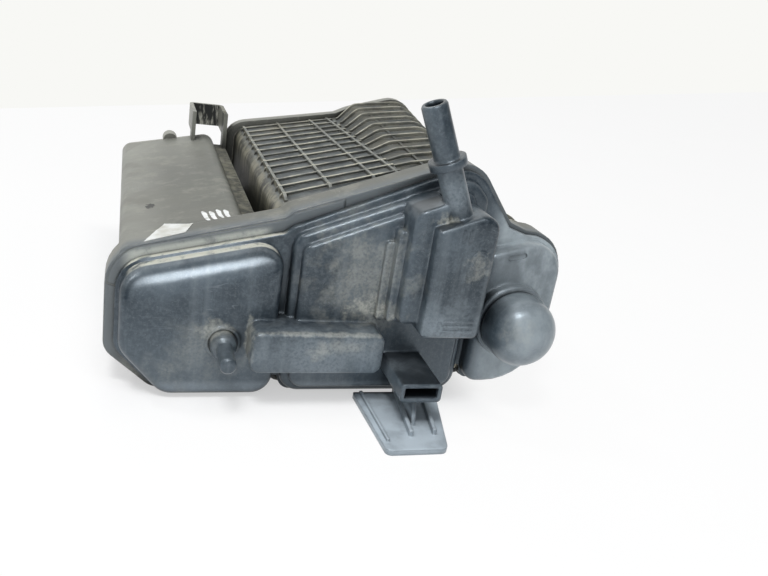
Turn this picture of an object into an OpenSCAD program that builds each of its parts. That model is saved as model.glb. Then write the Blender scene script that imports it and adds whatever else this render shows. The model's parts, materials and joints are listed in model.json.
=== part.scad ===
// Charcoal canister for fuel vapour: a moulded housing with three carbon chambers side by side,
// a welded front cover that carries the ports, two welded rear covers and the packed charge inside.
// x runs across the front, y runs from the front to the rear and z is up. The part stands on z = 0.

/* [Housing] */
// Width across the front flange
body_w = 244; // [226:1:262]
// Depth from the front weld plane to the rear weld plane
body_d = 212; // [180:1:240]
// Wall thickness of the housing
wall = 2.5; // [2:0.1:3.2]
// Thickness of the front flange
flange_t = 5; // [3:0.5:8]
// Depth of the collar around the front flange
collar_d = 16; // [12:1:24]

/* [Front outline] */
// Height of the left end
left_h = 74; // [70:0.5:76]
// Rise of the left section's top edge, in degrees
left_slope = 14.6; // [13.5:0.1:15.5]
// Width of the cut corner at the lower left
chamfer_x = 24; // [20:0.5:32]
// Height of the cut corner at the lower left
chamfer_z = 21.5; // [18:0.5:30]
// Width of the left section, up to the centre of the groove beside it
left_w = 86.5; // [85:0.25:88]
// Width of the right section, up to the centre of the groove beside it
right_w = 53; // [52:0.25:54]
// Width of both grooves
groove_w = 4; // [3:0.25:5]
// Height of the middle section at its left end
mid_h = 99.5; // [97.5:0.5:103]
// Rise of the middle section's top edge, in degrees
mid_slope = 20.3; // [19:0.1:21.5]
// Distance from the shoulder's corner to the right groove
shoulder_in = 8.5; // [7:0.25:11]
// Fall of the shoulder, in degrees
shoulder_slope = 52; // [50:0.5:55]
// Height of the right section
right_h = 97; // [94:0.5:100]
// Height of the right section's lower edge above the ground
right_base = 7; // [5:0.25:9]

/* [Chambers] */
// Distance from the left flange edge to the left chamber
left_inset = 6; // [5:0.25:8]
// Width of the left chamber
left_chamber_w = 63; // [60:0.5:65]
// Height of the left chamber at its left side
left_chamber_h = 76; // [72:0.5:78]
// Slope of the left chamber's roof, in degrees
left_roof_slope = 12.4; // [11:0.2:14]
// Gap between the left and the middle chamber
chamber_gap = 14; // [12:0.5:15]
// Height of the middle chamber at its left side
mid_chamber_h = 96.5; // [92:0.5:97]
// Slope of the middle chamber's roof, in degrees
mid_roof_slope = 11.5; // [10:0.1:13]
// Distance from the right groove back to the foot of the barrel roof
step_in = 34; // [32:0.5:36]
// Height of the barrel roof's left flank at the front
step_h = 1.5; // [1:0.25:3]
// Height that this flank gains towards the rear
step_gain = 10; // [6:0.5:12]
// Width of this flank
step_w = 10; // [8:0.5:12]
// Distance from the right groove on to the barrel roof's right corner at the front
barrel_in = 2; // [0:0.5:4]
// Height of the barrel roof's right corner at the front
barrel_h = 118; // [115:0.5:119]
// Reach that the barrel's ribs gain to the right towards the rear
barrel_gain_x = 13; // [0:0.5:14]
// Height that the barrel's ribs gain towards the rear
barrel_gain_z = 11; // [6:0.5:12]
// Distance from the right flange edge to the right chamber
right_inset = 5; // [4:0.25:7]
// Number of transverse ribs on the roofs
rib_count = 13; // [8:1:15]
// Thickness of the roof ribs
rib_t = 1.8; // [1.2:0.1:2.6]
// Height of the roof ribs
rib_h = 1.8; // [1.2:0.1:3]
// Extra height that the roof gains under its ribs towards the barrel and the front
rib_gain = 6; // [0:0.5:7]

/* [Front cover] */
// Thickness of the cover's weld flange
weld_t = 4; // [3:0.25:5]
// Distance from the weld plane to the face of the sections
dome_d = 13.5; // [12:0.5:16]
// Width of the housing's bare flange above and beside the cover's left part
ring = 6.5; // [5:0.25:7.5]
// Width of the ledge beside the right section
ledge = 5; // [4:0.25:6]
// Width of the ledge beside the left section, from the flange's edge
left_ledge = 7.5; // [7:0.25:9]
// Width of the ledge above the middle section, from the flange's edge
mid_ledge = 11; // [10:0.25:12]
// Depth of the sections' rounded front edge
dome_r = 4.5; // [2:0.25:5]
// Distance from the middle section's edge to its raised panel
panel_in = 4.3; // [3.5:0.1:5]
// Height of the middle section's raised panel
panel_h = 4; // [2.5:0.25:4.5]
// Wall thickness of the cover
cover_wall = 2.4; // [2:0.1:2.8]
// Overlap of the cross channel over the left section, from the left groove
bar_in = 17.5; // [14.5:0.5:20.5]
// Gap between the cross channel and the clip socket
bar_gap = 5; // [4:0.5:11]
// Lower side of the cross channel above the ground
bar_z = 23.5; // [21:0.5:25]
// Height of the cross channel
bar_h = 22; // [18:0.5:24]
// Front of the cross channel, from the weld plane
bar_d = 30; // [26:0.5:34]
// Gap between the upright channel and the right groove
box_in = 7; // [6:0.5:8]
// Width of the upright channel
box_w = 32; // [31:0.5:33]
// Lower side of the upright channel above the ground
box_z = 48; // [46:0.5:52]
// Height of the upright channel at its left side
box_h = 57; // [55:0.5:59]
// Front of the upright channel, from the weld plane
box_d = 38; // [36:0.5:42]
// Width of the stepped side channel
knuckle_w = 10; // [9:0.5:11]
// Front of the stepped side channel, from the weld plane
knuckle_d = 30; // [27:0.5:32]

/* [Port tube] */
// Outer diameter of the hose port
tube_od = 13; // [12:0.1:14]
// Bore of the hose port
tube_id = 9; // [7:0.1:9.6]
// Length from the upright channel to the tip
tube_l = 58; // [50:0.5:66]
// Lean of the port, in degrees
tube_lean = 24.5; // [21:0.5:27]
// Diameter of the stop collar
tube_collar_d = 19; // [17:0.25:21]
// Thickness of the stop collar
tube_collar_t = 4; // [3:0.25:5]
// Distance from the stop collar to the tip
tube_free_l = 27.5; // [24:0.5:32]

/* [Vent] */
// Distance from the vent's axis to the right end
vent_in = 32; // [31:0.5:33]
// Height of the vent
vent_z = 50; // [47:0.5:53]
// Diameter of the ring around the vent neck
vent_ring_d = 42; // [40:0.5:43]
// Outer diameter of the vent neck
vent_neck_d = 24; // [22:0.5:26]
// Bore of the vent neck
vent_bore_d = 18; // [16:0.5:19]
// Diameter of the vent cap
cap_d = 38; // [35:0.5:40]
// Length of the vent cap
cap_l = 25; // [23:0.5:30]
// Wall thickness of the vent cap
cap_wall = 2; // [1.5:0.1:2.4]

/* [Nipple, clip and tongue] */
// Distance from the blind nipple's axis to the left end
nipple_in = 57; // [54:0.5:58]
// Height of the blind nipple
nipple_z = 33; // [30:0.5:36]
// Diameter of the blind nipple
nipple_d = 8.2; // [7:0.1:9]
// Diameter of the blind nipple's root
nipple_root_d = 13.4; // [12:0.2:14]
// Length of the blind nipple
nipple_l = 26; // [18:0.5:30]
// Distance from the clip socket's left side to the upright channel's left side
clip_in = 10; // [8:0.5:12]
// Width of the clip socket
clip_w = 22; // [20:0.5:24]
// Lower side of the clip socket above the ground
clip_z = 18.5; // [16:0.5:20]
// Height of the clip socket
clip_h = 10; // [9.5:0.25:12]
// Front of the clip socket, from the weld plane
clip_d = 50; // [44:0.5:54]
// Wall thickness of the clip socket
clip_wall = 2; // [1.6:0.1:2.2]
// Front of the tongue, from the weld plane
tongue_d = 69; // [66:0.5:76]
// Thickness of the tongue
tongue_t = 3; // [2.5:0.1:4]

/* [Mounting loop] */
// Overlap of the loop over the left chamber
loop_in = 17; // [16:0.25:18]
// Width of the loop
loop_w = 24.5; // [23.5:0.25:25]
// Reach of the loop behind the rear weld plane
loop_d = 25; // [20:0.5:32]
// Top of the loop above the ground
loop_z = 107; // [105:0.5:110]
// Height of the loop
loop_h = 15.5; // [12:0.5:16]
// Wall thickness of the loop
loop_t = 2.6; // [2:0.1:2.8]

/* [Charge] */
// Clearance around everything that slides into a chamber
fit = 0.4; // [0.2:0.05:0.8]
// Thickness of the front felt pads
front_felt_t = 5; // [3:0.5:8]
// Thickness of the rear felt pads
rear_felt_t = 4; // [2:0.5:6]
// Thickness of the pressure plates
plate_t = 4; // [3:0.5:6]
// Space behind the pressure plates for the springs
spring_l = 38; // [32:1:46]
// Coil diameter of the springs
spring_d = 30; // [26:0.5:32]
// Wire diameter of the springs
wire_d = 2.2; // [1.6:0.1:2.8]
// Turns of each spring
spring_turns = 5; // [4:1:7]

/* [Rear covers] */
// Thickness of the rear covers
rear_t = 4; // [3:0.25:6]
// Overhang of the rim around the ribbed chambers
rim = 3.5; // [2.5:0.25:4]
// Extra overhang of that rim on its left side
rim_left = 3.5; // [2.5:0.25:4]
// Height of the barrel's left flank on that rim
rim_step = 5; // [4:0.25:6]
// Thickness of that rim
rim_t = 4; // [3:0.25:6]
// Diameter of the boss on the left rear cover
boss_d = 10; // [8:0.5:12]
// Length of that boss
boss_l = 8; // [6:0.5:14]

/* [Hidden] */
$fn = 64;
over = 1;
arc_step = 12;

left_x = -body_w / 2;
right_x = body_w / 2;
// Places across the front, each tied to the end, groove or piece that it belongs to
groove_left_x = left_x + left_w;
groove_right_x = right_x - right_w;
shoulder_x = groove_right_x - shoulder_in;
left_chamber_x = left_x + left_inset + left_chamber_w;
mid_chamber_x = left_chamber_x + chamber_gap;
step_x = groove_right_x - step_in;
barrel_x = groove_right_x + barrel_in;
box_x = groove_right_x - box_in - box_w;
clip_x = box_x - clip_in;
bar_x = groove_left_x - bar_in;
bar_l = clip_x - bar_gap - bar_x;
vent_x = right_x - vent_in;
nipple_x = left_x + nipple_in;
loop_x = left_chamber_x - loop_in;
groove_left_a = groove_left_x - groove_w / 2;
groove_left_b = groove_left_x + groove_w / 2;
groove_right_a = groove_right_x - groove_w / 2;
groove_right_b = groove_right_x + groove_w / 2;
notch_h = 9;
foot = 2;
// The origin lies under the middle of the whole part's box
shift_y = (tongue_d - body_d - loop_d) / 2;

// Heights of the sloping edges at a place across the front
function left_top(x) = left_h + (x - left_x) * tan(left_slope);
function mid_top(x) = mid_h + (x - groove_left_b) * tan(mid_slope);
function left_roof(x) = left_chamber_h + (x - left_x - left_inset) * tan(left_roof_slope);
function mid_roof(x) = mid_chamber_h + (x - mid_chamber_x) * tan(mid_roof_slope);
function box_top(x) = box_z + box_h + (x - box_x) * tan(mid_slope + 1.5);
function shoulder(x) = mid_top(shoulder_x) - (x - shoulder_x) * tan(shoulder_slope);
shoulder_z = mid_top(shoulder_x);
shoulder_foot_z = right_h + 4;
shoulder_foot_x = shoulder_x + (shoulder_z - shoulder_foot_z) / tan(shoulder_slope);

// Outlines are lists of corners [x, z, corner radius], counter-clockwise
flange_outline = [
    [left_x + chamfer_x, 0, 10],
    [groove_left_a - 2, 0, 7],
    [groove_left_a, notch_h, 1.5],
    [groove_left_b, notch_h, 1.5],
    [groove_left_b + 2, 0, 7],
    [groove_right_a - 2, 0, 7],
    [groove_right_a, notch_h + right_base, 1.5],
    [groove_right_b, notch_h + right_base, 1.5],
    [groove_right_b + 1.5, right_base, 5],
    [right_x, right_base, 42],
    [right_x, right_h, 22],
    [shoulder_foot_x + 11, right_h, 8],
    [shoulder_foot_x, shoulder_foot_z, 4],
    [shoulder_x, shoulder_z, 18],
    [groove_left_b, mid_h, 5],
    [groove_left_a, left_top(groove_left_a), 4],
    [left_x, left_h, 22],
    [left_x, chamfer_z, 12]];
// The cover's weld flange leaves a bare ring of the housing's flange at the left and at the top
cover_outline = [
    [left_x + chamfer_x + 2.5, 1, 10],
    [groove_left_a - 2, 1, 7],
    [groove_left_a, notch_h, 1.5],
    [groove_left_b, notch_h, 1.5],
    [groove_left_b + 2, 1, 7],
    [groove_right_a - 2, 1, 7],
    [groove_right_a, notch_h + right_base, 1.5],
    [groove_right_b, notch_h + right_base, 1.5],
    [groove_right_b + 1.5, right_base + 1, 5],
    [right_x - 1.5, right_base + 1, 41],
    [right_x - 1.5, right_h - 2, 21],
    [shoulder_foot_x + 10, right_h - 2, 8],
    [shoulder_foot_x - 2, shoulder_foot_z - 2, 4],
    [shoulder_x - 1.5, shoulder_z - 2.5, 17],
    [groove_left_b, mid_h - ring - 1, 5],
    [groove_left_a, left_top(groove_left_a) - ring - 1, 4],
    [left_x + ring - 1.5, left_h - ring + 1.5, 17],
    [left_x + ring - 1.5, chamfer_z + 3, 12]];
left_dome = [
    [left_x + chamfer_x + 4.5, foot, 12],
    [groove_left_a, foot, 11],
    [groove_left_a, left_top(groove_left_a) - left_ledge - 2, 12],
    [left_x + left_ledge - 0.5, left_h - left_ledge + 1.5, 15],
    [left_x + left_ledge - 0.5, chamfer_z + 5.5, 13]];
mid_dome = [
    [groove_left_b, foot, 11],
    [groove_right_a, foot, 11],
    [groove_right_a, shoulder(groove_right_a) - ledge - 6, 8],
    [shoulder_x - 4, mid_top(shoulder_x - 4) - mid_ledge + 3.5, 9],
    [groove_left_b, mid_h - mid_ledge, 9]];
mid_panel = [
    [groove_left_b + panel_in, foot + panel_in, 8],
    [groove_right_a - panel_in, foot + panel_in, 8],
    [groove_right_a - panel_in, shoulder(groove_right_a) - ledge - 6 - 2.4 * panel_in, 5],
    [shoulder_x - 5.5, mid_top(shoulder_x - 5.5) - mid_ledge + 3.5 - 1.15 * panel_in, 5],
    [groove_left_b + panel_in, mid_h - mid_ledge - 0.9 * panel_in, 6]];
right_dome = [
    [groove_right_b, right_base + foot, 9],
    [right_x - ledge, right_base + foot, 33],
    [right_x - ledge, right_h - ledge + 1, 18],
    [right_x - 27, right_h - ledge + 1, 10],
    [groove_right_b, right_h - 2 * ledge - 1, 7]];
left_chamber = [
    [left_x + chamfer_x, rim, 8],
    [left_chamber_x, rim, 8],
    [left_chamber_x, left_roof(left_chamber_x), 7],
    [left_x + left_inset, left_chamber_h, 7],
    [left_x + left_inset, chamfer_z, 10]];
// The ribbed chambers' outline, from the plain wall at 0 to the larger barrel at the rear at 1
function ribbed(grow, step, left) = [
    [mid_chamber_x - left, rim, 8],
    [groove_right_a - 3, rim, 7],
    [groove_right_b, right_base + 2, 7],
    [right_x - right_inset, right_base + 2, 38],
    [right_x - right_inset, right_h - 7, 15 - 4 * grow],
    [barrel_x + 17 + (barrel_gain_x + 5) * grow, right_h - 3.5, 6],
    [barrel_x + barrel_gain_x * grow, barrel_h + barrel_gain_z * grow, 12 + 2 * grow],
    [step_x + step_w, mid_roof(step_x) + step, 9],
    [step_x, mid_roof(step_x), 3],
    [mid_chamber_x - left, mid_chamber_h, 10 + left]];
ribbed_chamber = ribbed(0, step_h, 0);

// Small vector helpers for rounding and offsetting the outlines
function flat(p) = [p[0], p[1]];
function unit(v) = v / norm(v);
function at(list, i) = list[(i + len(list)) % len(list)];
function left_normal(v) = [-v[1], v[0]];

// Points of one rounded corner between its two neighbours
function corner(a, p, b, r) =
    let (u = unit(a - p), v = unit(b - p), half = acos(u * v) / 2,
        centre = p + unit(u + v) * r / sin(half), start = p + u * r / tan(half) - centre,
        turn = (u[0] * v[1] - u[1] * v[0] > 0 ? -1 : 1) * (180 - 2 * half),
        n = max(2, ceil(abs(turn) / arc_step)))
    [for (k = [0:n]) let (w = turn * k / n)
        centre + [start[0] * cos(w) - start[1] * sin(w), start[0] * sin(w) + start[1] * cos(w)]];

// A whole outline with its corners rounded
function rounded(list) = [for (i = [0:len(list) - 1])
    each corner(flat(at(list, i - 1)), flat(list[i]), flat(at(list, i + 1)), list[i][2])];

// The same outline moved inwards by d, with its convex corners tightened and the others widened
function inset(list, d) = [for (i = [0:len(list) - 1])
    let (a = flat(at(list, i - 1)), p = flat(list[i]), b = flat(at(list, i + 1)),
        na = left_normal(unit(p - a)), nb = left_normal(unit(b - p)), sum = na + nb,
        convex = na[0] * nb[1] - na[1] * nb[0] >= 0)
    concat(p + sum * d * 2 / (sum * sum), max(0.6, list[i][2] - (convex ? d : -d)))];

// Profiles in the x-z plane, drawn from y towards the rear
module run(y, length) {
    translate([0, y + length, 0])
        rotate([90, 0, 0])
            linear_extrude(length)
                children();
}

// Profiles in the y-z plane, drawn from x towards the right
module side(x, length) {
    translate([x, 0, 0])
        rotate([90, 0, 90])
            linear_extrude(length)
                children();
}

// A cylinder whose axis runs to the rear from y
module rod(x, y, z, d, length) {
    translate([x, y + length, z])
        rotate([90, 0, 0])
            cylinder(d = d, h = length);
}

module shape(outline) {
    polygon(rounded(outline));
}

function block(x, z, w, h, r) = [[x, z, r], [x + w, z, r], [x + w, z + h, r], [x, z + h, r]];

module block_2d(x, z, w, h, r) {
    shape(block(x, z, w, h, r));
}

module seated() {
    translate([0, shift_y, 0])
        children();
}

// Inside of each chamber, less a clearance all round
module left_inside(gap) {
    shape(inset(left_chamber, wall + gap));
}

module mid_inside(gap) {
    intersection() {
        shape(inset(ribbed_chamber, wall + gap));
        translate([mid_chamber_x, 0])
            square([groove_right_x - wall / 2 - gap - mid_chamber_x, shoulder_z]);
    }
}

module right_inside(gap) {
    intersection() {
        shape(inset(ribbed_chamber, wall + gap));
        translate([groove_right_x + wall / 2 + gap, 0])
            square([right_x - groove_right_x, shoulder_z]);
    }
}

// Roof ribs
long_ribs = [for (share = [0.075, 0.4, 0.72, 0.89]) mid_chamber_x + (step_x - mid_chamber_x) * share];
rib_left = mid_chamber_x + 3.5;
rib_right = step_x - 4.5;
rib_front = collar_d + 16;
rib_rear = body_d - rim_t - 8;
rib_pitch = (rib_rear - rib_front) / (rib_count - 1);
function gain(x, y) = rib_gain * (x - mid_chamber_x) / (step_x - mid_chamber_x)
    * min(1, (rib_rear - y) / (rib_rear - rib_front));
function rib_top(x, y) = mid_roof(x) + rib_h + gain(x, y);

function back_share(y) = max(0, (y - rib_front) / (rib_rear - rib_front));

module cross_rib(y) {
    low = mid_chamber_h - 8;
    run(y - rib_t / 2, rib_t)
        shape([
            [rib_left, low, 1],
            [rib_right, low, 1],
            [rib_right, rib_top(rib_right, y), 1],
            [rib_left, rib_top(rib_left, y) - 0.4, 2.4]]);
    run(y - rib_t / 2, rib_t)
        barrel_rib(back_share(y));
}

module barrel_rib(grow) {
    intersection() {
        shape(inset(ribbed(grow, step_h + step_gain * grow, 0), -rib_h));
        translate([step_x - 2, right_h * 0.7])
            square([right_x - step_x + 2, shoulder_z]);
    }
}

// Roof between two neighbouring ribs, a rib's height below their tops
function floor_top(x, y) = mid_roof(x) + gain(x, y);

module roof_bay(front, rear) {
    y = (front + rear) / 2;
    start = mid_chamber_x + 8;
    run(front - 0.3, rear - front + 0.6) {
        polygon([
            [start, mid_roof(start) - 1.2],
            [rib_right, mid_roof(rib_right) - 1.2],
            [rib_right, floor_top(rib_right, y)],
            [start + 8, floor_top(start + 8, y)],
            [start, mid_roof(start) + 0.1]]);
        intersection() {
            shape(inset(ribbed(back_share(y), step_h + step_gain * back_share(y), 0), -0.1));
            translate([step_x - 2, right_h - 1.5])
                square([right_x - step_x, shoulder_z]);
        }
    }
}

module long_rib(x) {
    side(x - rib_t / 2, rib_t)
        polygon([
            [rib_front - 9, mid_roof(x) - 3],
            [rib_rear + 4, mid_roof(x) - 3],
            [rib_rear + 4, rib_top(x, rib_rear)],
            [rib_front - 2, rib_top(x, rib_front)],
            [rib_front - 9, mid_roof(x) + 0.5]]);
}

module gusset(x) {
    side(x - rib_t / 2, rib_t)
        polygon([
            [collar_d - 3, mid_roof(x) - 3],
            [collar_d + 9, mid_roof(x) - 3],
            [collar_d + 9, mid_roof(x) + 0.5],
            [collar_d - 3, mid_top(x) - 1.2]]);
}

module barrel_long_rib(x, front_z, rear_z) {
    side(x - rib_t / 2, rib_t)
        polygon([
            [collar_d - 2, front_z - 5],
            [rib_rear + 4, front_z - 5],
            [rib_rear + 4, rear_z],
            [collar_d - 2, front_z]]);
}

module roof_ribs() {
    for (i = [0:rib_count - 1])
        cross_rib(rib_front + rib_pitch * i);
    for (i = [0:rib_count - 2])
        roof_bay(rib_front + rib_pitch * i, rib_front + rib_pitch * (i + 1));
    roof_bay(collar_d - 1, rib_front);
    for (x = long_ribs)
        long_rib(x);
    for (share = [0.1, 0.42, 0.74])
        gusset(mid_chamber_x + (step_x - mid_chamber_x) * share + 6);
    step_top = mid_roof(step_x) + step_h + rib_h;
    barrel_long_rib(step_x + step_w + 6, step_top, step_top + step_gain * 0.9);
    barrel_long_rib(barrel_x + 1, barrel_h + rib_h - 4, barrel_h + rib_h + barrel_gain_z * 0.7);
}

// Loop for the mounting peg, with its feet on both chambers
foot_d = 12;
shelf_z = left_roof(left_chamber_x) - 10;

module loop_outline(grow, front) {
    x = loop_x + grow;
    w = loop_w - 2 * grow;
    y = body_d + loop_d - grow;
    polygon(concat([[x, front]], [[x + w, front]],
        corner([x + w, body_d], [x + w, y], [x, y], 4 - grow),
        corner([x + w, y], [x, y], [x, body_d], 4 - grow)));
}

module loop() {
    difference() {
        translate([0, 0, loop_z - loop_h])
            linear_extrude(loop_h)
                loop_outline(0, body_d - foot_d);
        translate([0, 0, loop_z - loop_h - over])
            linear_extrude(loop_h + 2 * over)
                loop_outline(loop_t, body_d - foot_d - over);
    }
    translate([loop_x, body_d - foot_d, left_roof(loop_x) - 1.5])
        cube([loop_t, foot_d - fit, loop_z - left_roof(loop_x)]);
    translate([loop_x + loop_w - loop_t, body_d - foot_d, shelf_z + 1])
        cube([loop_t, foot_d - fit, loop_z - loop_h - shelf_z]);
}

module rear_rim() {
    shape(inset(ribbed(1, rim_step, rim_left), -rim));
}

module main_housing() {
    color([0.42, 0.42, 0.39])
        seated()
            difference() {
                union() {
                    difference() {
                        run(0, collar_d)
                            shape(flange_outline);
                        run(flange_t, collar_d)
                            shape(inset(flange_outline, wall));
                    }
                    run(0, body_d)
                        shape(left_chamber);
                    run(0, body_d)
                        shape(ribbed_chamber);
                    run(body_d - rim_t, rim_t)
                        rear_rim();
                    roof_ribs();
                    shelves();
                    loop();
                }
                run(-over, body_d + 2 * over)
                    left_inside(0);
                run(-over, body_d + 2 * over)
                    mid_inside(0);
                run(-over, body_d + 2 * over)
                    right_inside(0);
            }
}

// Shelf along the left chamber and the web that ties both chambers together
module shelves() {
    translate([left_chamber_x - wall / 2, flange_t, shelf_z])
        cube([wall / 2 + loop_w - loop_in, body_d - flange_t, wall]);
    translate([left_chamber_x - wall / 2, flange_t, 50])
        cube([mid_chamber_x - left_chamber_x + wall, body_d - flange_t, wall]);
}

// Front cover: one raised form whose front edge is rounded in steps, or cut as a bevel with one step
module dome(outline, depth, edge, steps, root) {
    hull() {
        run(-depth + edge, depth - edge - root)
            shape(outline);
        for (a = [90 / steps:90 / steps:90])
            run(-depth + edge * (1 - sin(a)), 0.5)
                shape(inset(outline, edge * (1 - cos(a))));
    }
}

bar_front = -bar_d;
box_front = -box_d;
box_right = box_x + box_w;
box_outline = [
    [box_x, box_z, 3],
    [box_right, box_z, 4],
    [box_right, box_top(box_right), 8],
    [box_x, box_top(box_x), 2]];
knuckle_outline = [
    [box_x - knuckle_w, box_z + 4, 3],
    [box_x + 8, box_z + 4, 1],
    [box_x + 8, box_top(box_x) + 13, 2],
    [box_x - knuckle_w, box_top(box_x) + 6, 8]];

module channels() {
    root = weld_t * 0.6;
    dome(block(bar_x, bar_z, bar_l, bar_h, 5), bar_d, 1.8, 2, root);
    dome(box_outline, box_d, 2.6, 3, root + 0.2);
    dome(knuckle_outline, knuckle_d, 2.4, 3, root - 0.2);
    run(-knuckle_d + 8, knuckle_d - 8 - root - 0.4)
        block_2d(box_x - knuckle_w - 4, box_z + 2, 8, box_h - 8, 2);
    run(-dome_d - 3, dome_d + 3 - root + 0.4)
        block_2d(box_x - knuckle_w - 8, box_z + 0.5, 7, box_h - 14, 2);
}

// Raised moulding marks on the upright channel
mark_h = 0.5;

module box_marks() {
    mid = box_x + box_w * 0.75;
    for (i = [0:2])
        run(box_front - mark_h, mark_h + 1)
            translate([box_x + box_w * 0.35, box_z + 4 + 2.8 * i])
                square([box_w * 0.5, 1.2]);
    for (i = [0:1])
        run(box_front - mark_h, mark_h + 1)
            translate([box_x + box_w * 0.38 + 3.4 * i, box_top(box_x) - 4])
                square([1.4, 6]);
    difference() {
        rod(mid, box_front - mark_h, box_z + box_h * 0.76, 10, mark_h + 1);
        rod(mid, box_front - mark_h - over, box_z + box_h * 0.76, 7, mark_h + over);
    }
}

// Long dimple near the top of the right section
module dimple() {
    translate([vent_x - 7, 0, right_h - 2.8 * ledge])
        rotate([0, -14, 0])
            run(-dome_d - over, over + 1)
                block_2d(0, 0, 11, 3.2, 1.5);
}

// Hollows behind the sections and the channels
module hollows() {
    depth = dome_d - cover_wall;
    margin = cover_wall + 2.6;
    run(-depth, depth + over)
        shape(inset(left_dome, margin));
    run(-depth, depth + over)
        shape(inset(mid_panel, cover_wall));
    run(-depth + panel_h, depth - panel_h + over)
        shape(inset(mid_dome, margin));
    run(-depth, depth + over)
        shape(inset(right_dome, margin));
    run(bar_front + cover_wall, bar_d - cover_wall - weld_t)
        block_2d(bar_x + cover_wall, bar_z + cover_wall, bar_l - 2 * cover_wall, bar_h - 2 * cover_wall, 3);
    run(box_front + cover_wall, box_d - cover_wall - weld_t)
        shape(inset(box_outline, cover_wall));
    run(-knuckle_d + cover_wall, knuckle_d - cover_wall - weld_t)
        shape(inset(knuckle_outline, cover_wall));
}

// Ribs inside the cover that hold the front felt pads
module pad_ribs() {
    back = dome_d - cover_wall / 2;
    for (x = [left_x + 22, left_x + 38, left_x + 54])
        translate([x, -back, 14])
            cube([2, back, left_h - 20]);
    for (x = [groove_left_b + 17, groove_left_b + 41])
        translate([x, -back, 14])
            cube([2, back, mid_h - mid_ledge - 22.5]);
    translate([groove_right_a - 18, -back, 14])
        cube([2, back, box_z - 20]);
    for (x = [vent_x - 10, vent_x + 8])
        translate([x, -back, 20])
            cube([2, back, right_h - 37]);
}

// Hose port, drawn along its own axis from the upright channel to the tip
tube_x = box_x + box_w * 0.44;
tube_y = -(box_d + dome_d) / 2;

module on_port() {
    translate([tube_x, tube_y, box_top(tube_x)])
        rotate([0, -tube_lean, 0])
            children();
}

module port() {
    r = tube_od / 2;
    stop = tube_l - tube_free_l;
    on_port()
        rotate_extrude()
            polygon([
                [0, -4], [r, -4], [r, stop - tube_collar_t], [tube_collar_d / 2, stop - tube_collar_t],
                [tube_collar_d / 2, stop], [r, stop], [r, tube_l - 1], [r - 0.6, tube_l], [0, tube_l]]);
}

// Vent neck with its ring
neck_front = -dome_d - 21;
lip_y = -dome_d - 4;

module vent_neck() {
    r = vent_neck_d / 2;
    translate([vent_x, -dome_d, vent_z])
        rotate([90, 0, 0])
            rotate_extrude()
                polygon([
                    [0, -1], [vent_ring_d / 2, -1], [vent_ring_d / 2, 5], [vent_ring_d / 2 - 1, 6], [r, 6],
                    [r, 21], [0, 21]]);
}

module vent_bore() {
    rod(vent_x, neck_front - over, vent_z, vent_bore_d, lip_y - neck_front + over);
    rod(vent_x, neck_front, vent_z, vent_bore_d - 4, -neck_front);
}

// Blind nipple in its ring
module nipple() {
    r = nipple_d / 2;
    root_r = nipple_root_d / 2;
    translate([nipple_x, -dome_d, nipple_z])
        rotate([90, 0, 0])
            rotate_extrude()
                polygon(concat(
                    [[0, -1], [root_r + 2, -1], [root_r + 2, 1.5], [root_r + 0.9, 1.5], [root_r + 0.9, 0.2]],
                    [[root_r, 0.2]],
                    [for (a = [0:15:90]) [r + (root_r - r) * cos(a), 5 + 4 * sin(a)]],
                    [[r, nipple_l], [r - 1, nipple_l + 1], [0, nipple_l + 1]]));
}

// Clip socket above the tongue
clip_mid_z = clip_z + clip_wall;
clip_in_h = clip_h - 2 * clip_wall;

module clip() {
    difference() {
        run(-clip_d, clip_d - dome_d + 1)
            block_2d(clip_x, clip_z, clip_w, clip_h, 2);
        run(-clip_d - over, clip_d - dome_d - clip_wall + over)
            block_2d(clip_x + clip_wall, clip_mid_z, clip_w - 2 * clip_wall, clip_in_h, 0.8);
    }
    side(clip_x + clip_w / 2 - 1, 2)
        polygon([[-dome_d + 1, tongue_t - 1], [-dome_d + 1, clip_z + 1], [-clip_d + 8, clip_z + 1],
            [-clip_d + 2, tongue_t - 1]]);
}

tongue_x = clip_x - 12.5;

module tongue() {
    linear_extrude(tongue_t)
        polygon(rounded([
            [tongue_x + 3, -tongue_d, 3.5],
            [tongue_x + 35, -tongue_d, 4.5],
            [tongue_x + 48, -dome_d + 1, 1],
            [tongue_x, -dome_d + 1, 1]]));
    translate([tongue_x + 5, -tongue_d + 8, tongue_t - 1])
        rotate([0, 0, 2])
            cube([1.6, tongue_d - dome_d - 8, 2.4]);
    translate([tongue_x + 18, -tongue_d + 12, tongue_t - 1])
        rotate([0, 0, -6])
            cube([2, tongue_d - dome_d - 12, 4]);
    translate([tongue_x + 31, -tongue_d + 13, tongue_t - 1])
        rotate([0, 0, -9])
            cube([2, tongue_d - dome_d - 13, 4]);
}

module front_cover() {
    color([0.13, 0.15, 0.17])
        seated()
            difference() {
                union() {
                    difference() {
                        union() {
                            run(-weld_t, weld_t)
                                shape(cover_outline);
                            dome(left_dome, dome_d, dome_r, 4, weld_t / 2);
                            dome(mid_dome, dome_d - panel_h, dome_r - 1.5, 3, weld_t / 2);
                            dome(mid_panel, dome_d, dome_r / 2, 3, weld_t / 2 - 0.2);
                            dome(right_dome, dome_d, dome_r, 4, weld_t / 2);
                            channels();
                            box_marks();
                        }
                        hollows();
                        dimple();
                    }
                    pad_ribs();
                    port();
                    vent_neck();
                    nipple();
                    clip();
                    tongue();
                }
                on_port()
                    translate([0, 0, -cover_wall - 3])
                        cylinder(d = tube_id, h = tube_l + cover_wall + 3 + over);
                vent_bore();
            }
}

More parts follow.
